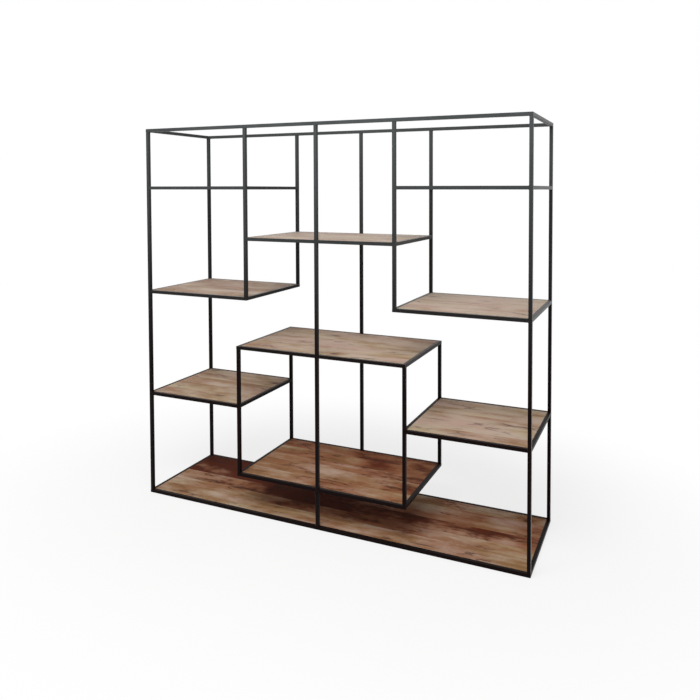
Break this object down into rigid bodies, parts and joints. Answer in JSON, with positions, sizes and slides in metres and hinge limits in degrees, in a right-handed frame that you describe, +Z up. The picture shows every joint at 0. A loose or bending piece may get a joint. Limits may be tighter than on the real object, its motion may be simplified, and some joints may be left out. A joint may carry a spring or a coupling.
{
  "type": "storage rack",
  "caption": "Open-backed rack of thin square steel tube with inset wooden boards at staggered heights and a boxed-out middle, for books, baskets and ornaments.",
  "frame": {"origin": "on the floor, under the middle of the rack's outline", "axes": "+X to the rack's right, +Y to its back, +Z up; the front faces -Y"},
  "size_m": [1.9, 0.45, 1.8],
  "materials": {
    "frame_steel": "satin black powder coat",
    "shelf_wood": "oiled, satin",
    "screw_steel": "zinc plated"
  },
  "bodies": {
    "root": {"front_left_post": "frame_steel", "front_centre_post": "frame_steel", "front_right_post": "frame_steel", "back_left_post": "frame_steel", "back_centre_post": "frame_steel", "back_right_post": "frame_steel", "upper_front_left_post": "frame_steel", "upper_front_right_post": "frame_steel", "upper_back_left_post": "frame_steel", "upper_back_right_post": "frame_steel", "box_front_left_post": "frame_steel", "box_front_right_post": "frame_steel", "box_back_left_post": "frame_steel", "box_back_right_post": "frame_steel", "top_front_rail": "frame_steel", "top_back_rail": "frame_steel", "top_left_rail": "frame_steel", "top_right_rail": "frame_steel", "base_front_rail": "frame_steel", "base_back_rail": "frame_steel", "base_side_rails": "frame_steel", "base_board": "shelf_wood", "box_floor_front_rail": "frame_steel", "box_floor_back_rail": "frame_steel", "box_floor_side_rails": "frame_steel", "box_floor_board": "shelf_wood", "box_top_front_rail": "frame_steel", "box_top_back_rail": "frame_steel", "box_top_side_rails": "frame_steel", "box_top_board": "shelf_wood", "centre_shelf_front_rail": "frame_steel", "centre_shelf_back_rail": "frame_steel", "centre_shelf_side_rails": "frame_steel", "centre_shelf_board": "shelf_wood", "left_low_front_rail": "frame_steel", "left_low_back_rail": "frame_steel", "left_low_side_rails": "frame_steel", "left_low_board": "shelf_wood", "right_low_front_rail": "frame_steel", "right_low_back_rail": "frame_steel", "right_low_side_rails": "frame_steel", "right_low_board": "shelf_wood", "left_middle_front_rail": "frame_steel", "left_middle_back_rail": "frame_steel", "left_middle_side_rails": "frame_steel", "left_middle_board": "shelf_wood", "right_middle_front_rail": "frame_steel", "right_middle_back_rail": "frame_steel", "right_middle_side_rails": "frame_steel", "right_middle_board": "shelf_wood", "left_high_front_rail": "frame_steel", "left_high_back_rail": "frame_steel", "left_high_side_rails": "frame_steel", "left_high_board": "shelf_wood", "right_high_front_rail": "frame_steel", "right_high_back_rail": "frame_steel", "right_high_side_rails": "frame_steel", "right_high_board": "shelf_wood", "board_tabs": "frame_steel", "board_screws": "screw_steel"}
  },
  "joints": []
}
